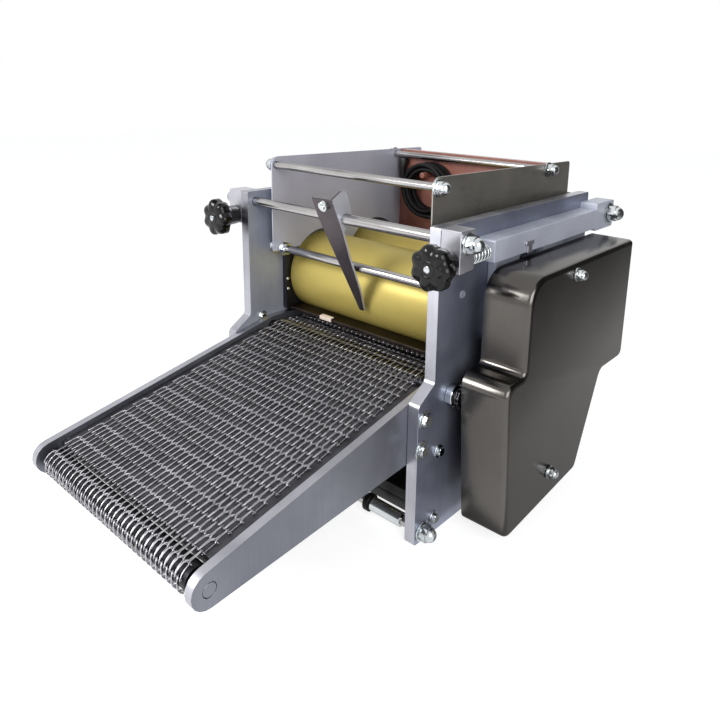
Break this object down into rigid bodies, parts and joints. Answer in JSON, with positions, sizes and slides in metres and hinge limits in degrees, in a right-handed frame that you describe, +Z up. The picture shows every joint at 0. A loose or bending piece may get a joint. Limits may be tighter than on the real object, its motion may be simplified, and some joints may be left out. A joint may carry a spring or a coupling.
{
  "type": "table-top tortilla machine",
  "caption": "Motor driven table-top tortilla machine with two yellow covered rollers, open hopper, woven wire outfeed belt, spring adjusters with star knobs and a chain guard.",
  "frame": {"origin": "middle of the overall footprint in X and Y, on the surface that the machine stands on", "axes": "+X towards the chain guard side, -Y towards the outfeed end of the belt, +Z up"},
  "size_m": [0.4976, 0.722, 0.4288],
  "materials": {
    "brushed_aluminium": "milled and brushed plate",
    "polished_stainless": "polished sheet with soft reflections",
    "stainless_sheet": "fine brushed sheet",
    "zinc_steel": "bright zinc plated",
    "wire_steel": "drawn wire",
    "blade_steel": "ground blade",
    "gear_steel": "oiled machined steel",
    "yellow_cover": "smooth turned plastic cover, satin",
    "black_plastic": "machined or moulded black plastic",
    "knob_plastic": "moulded glossy black",
    "motor_paint": "grey enamel",
    "cutter_nylon": "pale machined plastic",
    "cord_rubber": "matt black sheath"
  },
  "bodies": {
    "frame": {"side_plate_left": "brushed_aluminium", "side_plate_right": "brushed_aluminium", "blade_rod": "zinc_steel", "base_rod_front": "zinc_steel", "base_rod_rear": "zinc_steel", "rear_tie_rod": "zinc_steel", "hopper_rod_front": "zinc_steel", "hopper_rod_rear": "zinc_steel", "guard_rod": "zinc_steel", "adjuster_block_left": "brushed_aluminium", "adjuster_block_right": "brushed_aluminium", "rear_arm_left": "brushed_aluminium", "rear_arm_right": "brushed_aluminium", "rear_bearing_left": "black_plastic", "rear_bearing_right": "black_plastic", "main_chain": "gear_steel", "conveyor_chain": "gear_steel", "gear_head": "motor_paint", "motor": "motor_paint", "conveyor_rail_left": "brushed_aluminium", "conveyor_rail_right": "brushed_aluminium", "mesh_belt": "wire_steel", "belt_bed": "stainless_sheet", "hopper_side_left": "stainless_sheet", "hopper_side_right": "stainless_sheet", "hopper_back": "stainless_sheet", "chain_guard": "polished_stainless", "guard_stud_upper": "zinc_steel", "guard_stud_lower": "zinc_steel", "rear_panel": "stainless_sheet", "cord_gland": "black_plastic", "cord_coil": "cord_rubber", "cord_lead": "cord_rubber", "cord_tail": "cord_rubber", "power_plug": "cord_rubber"},
    "carriage": {"front_arm_left": "brushed_aluminium", "front_arm_right": "brushed_aluminium", "front_bearing_left": "black_plastic", "front_bearing_right": "black_plastic", "scraper_bar": "blade_steel", "adjuster_spring_left": "zinc_steel", "adjuster_spring_right": "zinc_steel"},
    "knob_right": {"star_knob_right": "knob_plastic", "adjuster_screw_right": "zinc_steel"},
    "knob_left": {"star_knob_left": "knob_plastic", "adjuster_screw_left": "zinc_steel"},
    "rear_roller": {"rear_drum": "yellow_cover", "rear_shaft": "zinc_steel", "rear_gear": "gear_steel", "rear_sprocket": "gear_steel"},
    "front_roller": {"front_drum": "yellow_cover", "front_shaft": "zinc_steel", "front_gear": "gear_steel"},
    "motor_shaft": {"motor_output": "gear_steel"},
    "conveyor_drive": {"conveyor_drive_shaft": "zinc_steel"},
    "belt_tail": {"tail_roller": "zinc_steel"},
    "belt_nose": {"nose_roller": "zinc_steel"},
    "cutter": {"cutter_drum": "cutter_nylon"},
    "divider": {"divider_blade": "blade_steel"},
    "switch": {"switch_rocker": "black_plastic"}
  },
  "joints": [
    {"name": "knob_right_turn", "type": "hinge", "parent": "frame", "child": "knob_right", "pos_m": [0.16327, -0.04401, 0.344], "axis": [0, 1, 0], "range_deg": [0, 617.2]},
    {"name": "knob_left_turn", "type": "hinge", "parent": "frame", "child": "knob_left", "pos_m": [-0.21333, -0.04401, 0.344], "axis": [0, 1, 0], "range_deg": [0, 617.2]},
    {"name": "nip_slide", "type": "slide", "parent": "frame", "child": "carriage", "axis": [0, -1, 0], "range_m": [0, 0.003], "deforming": ["adjuster_spring_left", "adjuster_spring_right"]},
    {"name": "rear_roller_spin", "type": "hinge", "parent": "frame", "child": "rear_roller", "pos_m": [-0.02503, 0.20299, 0.247], "axis": [1, 0, 0], "continuous": true},
    {"name": "front_roller_spin", "type": "hinge", "parent": "carriage", "child": "front_roller", "pos_m": [-0.02503, 0.08299, 0.247], "axis": [1, 0, 0], "continuous": true},
    {"name": "motor_spin", "type": "hinge", "parent": "frame", "child": "motor_shaft", "pos_m": [-0.02503, 0.12599, 0.075], "axis": [1, 0, 0], "continuous": true},
    {"name": "conveyor_drive_spin", "type": "hinge", "parent": "frame", "child": "conveyor_drive", "pos_m": [-0.02503, -0.01101, 0.174], "axis": [1, 0, 0], "continuous": true},
    {"name": "belt_tail_spin", "type": "hinge", "parent": "frame", "child": "belt_tail", "pos_m": [-0.02503, 0.03999, 0.168], "axis": [1, 0, 0], "continuous": true},
    {"name": "belt_nose_spin", "type": "hinge", "parent": "frame", "child": "belt_nose", "pos_m": [-0.02503, -0.34201, 0.103], "axis": [1, 0, 0], "continuous": true},
    {"name": "cutter_spin", "type": "hinge", "parent": "frame", "child": "cutter", "pos_m": [-0.02503, 0.12188, 0.16362], "axis": [1, 0, 0], "continuous": true},
    {"name": "divider_swing", "type": "hinge", "parent": "frame", "child": "divider", "pos_m": [-0.03603, -0.03001, 0.365], "axis": [1, 0, 0], "range_deg": [-120, 0]},
    {"name": "switch_rock", "type": "hinge", "parent": "frame", "child": "switch", "pos_m": [-0.13003, 0.29699, 0.17], "axis": [1, 0, 0], "range_deg": [0, 14]}
  ],
  "couplings": [
    {"joint": "knob_right_turn", "follows": "nip_slide", "rad_per_m": 3590.4},
    {"joint": "knob_left_turn", "follows": "nip_slide", "rad_per_m": 3590.4},
    {"joint": "front_roller_spin", "follows": "rear_roller_spin", "ratio": -1},
    {"joint": "motor_spin", "follows": "rear_roller_spin", "ratio": 2},
    {"joint": "conveyor_drive_spin", "follows": "rear_roller_spin", "ratio": 4.8},
    {"joint": "belt_tail_spin", "follows": "rear_roller_spin", "ratio": 4.1143},
    {"joint": "belt_nose_spin", "follows": "rear_roller_spin", "ratio": 3.84},
    {"joint": "cutter_spin", "follows": "rear_roller_spin", "ratio": 1.8594}
  ]
}
